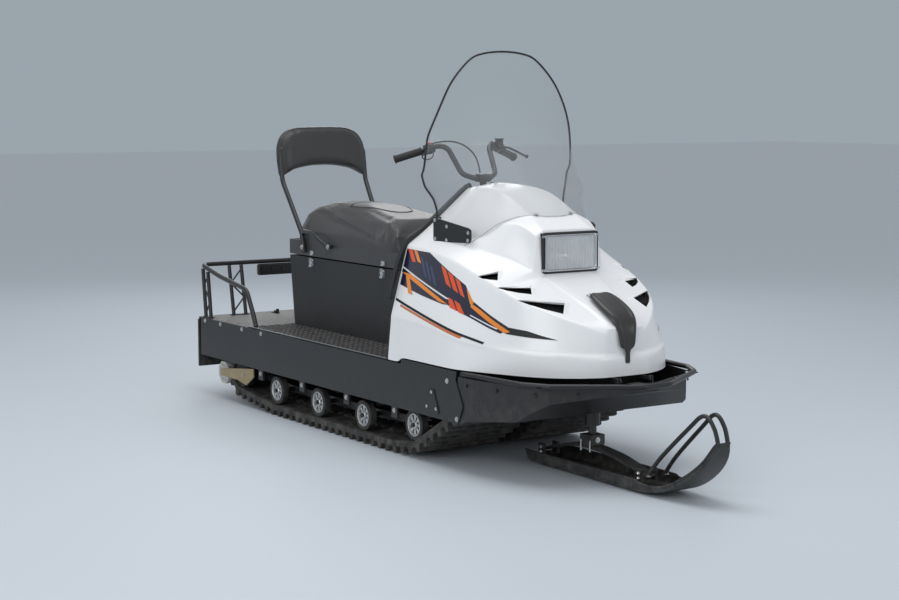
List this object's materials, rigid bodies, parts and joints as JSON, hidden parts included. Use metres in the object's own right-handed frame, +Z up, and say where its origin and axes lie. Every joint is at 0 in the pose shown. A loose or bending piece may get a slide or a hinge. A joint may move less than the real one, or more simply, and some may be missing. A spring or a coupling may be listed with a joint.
{
  "type": "utility snowmobile",
  "caption": "Long twin-track utility snowmobile with one central ski, tilting hood and windshield, lifting saddle with backrest, and a railed cargo deck.",
  "frame": {"origin": "on the ground, in the middle of the machine's length and width", "axes": "+X forward to the ski's tip, +Y to the rider's left, +Z up"},
  "size_m": [3.3, 0.91, 1.621],
  "materials": {
    "black_steel": "satin black powder coat",
    "deck_grey": "matt grey tread plate",
    "black_plastic": "moulded, satin",
    "hood_white": "gloss white with dark blue, orange and red bands",
    "windshield_clear": "clear sheet with a black edge",
    "lamp_glass": "fluted clear glass",
    "seat_vinyl": "black seat vinyl with stitched seams",
    "black_rubber": "moulded rubber",
    "wheel_alloy": "cast",
    "zinc_plate": "yellow zinc plated",
    "latch_chrome": "polished",
    "engine_alloy": "plain block",
    "roller_grey": "pale grey",
    "keel_steel": "worn by the ground"
  },
  "bodies": {
    "chassis": {"deck_frame": "black_steel", "centre_beam": "black_steel", "side_skirt_right": "black_steel", "side_skirt_left": "black_steel", "footboards": "black_steel", "rear_deck": "deck_grey", "rear_flap": "black_rubber", "tow_hitch": "black_steel", "belly_pan": "black_plastic", "front_bumper": "black_steel", "hood_hinges": "black_steel", "engine_block": "engine_alloy", "track_right": "black_rubber", "track_left": "black_rubber", "road_wheels": "wheel_alloy", "rear_idlers": "wheel_alloy", "drive_axles": "black_steel", "track_carriers": "black_steel", "hanger_brackets": "black_steel", "tail_rollers": "roller_grey", "tension_arms": "zinc_plate", "rack_rail": "black_steel", "rack_posts": "black_steel", "tail_lamp": "black_plastic", "seat_box": "black_plastic", "seat_latches": "latch_chrome", "dash_panel": "black_plastic", "spindle_housing": "black_steel"},
    "seat": {"seat_base": "black_plastic", "seat_cushion": "seat_vinyl", "backrest_frame": "black_steel", "backrest_pad": "seat_vinyl", "grab_handles": "black_steel"},
    "hood": {"hood": "hood_white", "headlamp": "black_plastic", "headlamp_lens": "lamp_glass", "hood_handle": "black_rubber", "windshield": "windshield_clear", "windshield_brackets": "black_steel"},
    "steering": {"steering_column": "black_steel", "steering_shaft": "black_steel", "handlebar": "black_steel", "handlebar_grips": "black_rubber", "throttle_control": "black_plastic", "brake_control": "black_plastic", "throttle_cable": "black_rubber"},
    "ski": {"ski_runner": "black_plastic", "ski_keel": "keel_steel", "ski_spring": "black_steel", "ski_shackles": "black_steel", "ski_spindle": "black_steel", "ski_loop": "black_steel"}
  },
  "joints": [
    {"name": "seat_hinge", "type": "hinge", "parent": "chassis", "child": "seat", "pos_m": [-0.65, 0.217, 0.709], "axis": [-1, 0, 0], "range_deg": [0, 55]},
    {"name": "hood_hinge", "type": "hinge", "parent": "chassis", "child": "hood", "pos_m": [1.15, 0, 0.395], "axis": [0, 1, 0], "range_deg": [0, 60]},
    {"name": "handlebar_turn", "type": "hinge", "parent": "chassis", "child": "steering", "pos_m": [0.15, 0, 1.092], "axis": [-0.3204, 0, 0.9473], "range_deg": [-38, 38]},
    {"name": "ski_turn", "type": "hinge", "parent": "chassis", "child": "ski", "pos_m": [0.9, 0, 0.2], "axis": [0, 0, 1], "range_deg": [-38, 38]}
  ],
  "couplings": [
    {"joint": "ski_turn", "follows": "handlebar_turn", "ratio": 1}
  ]
}
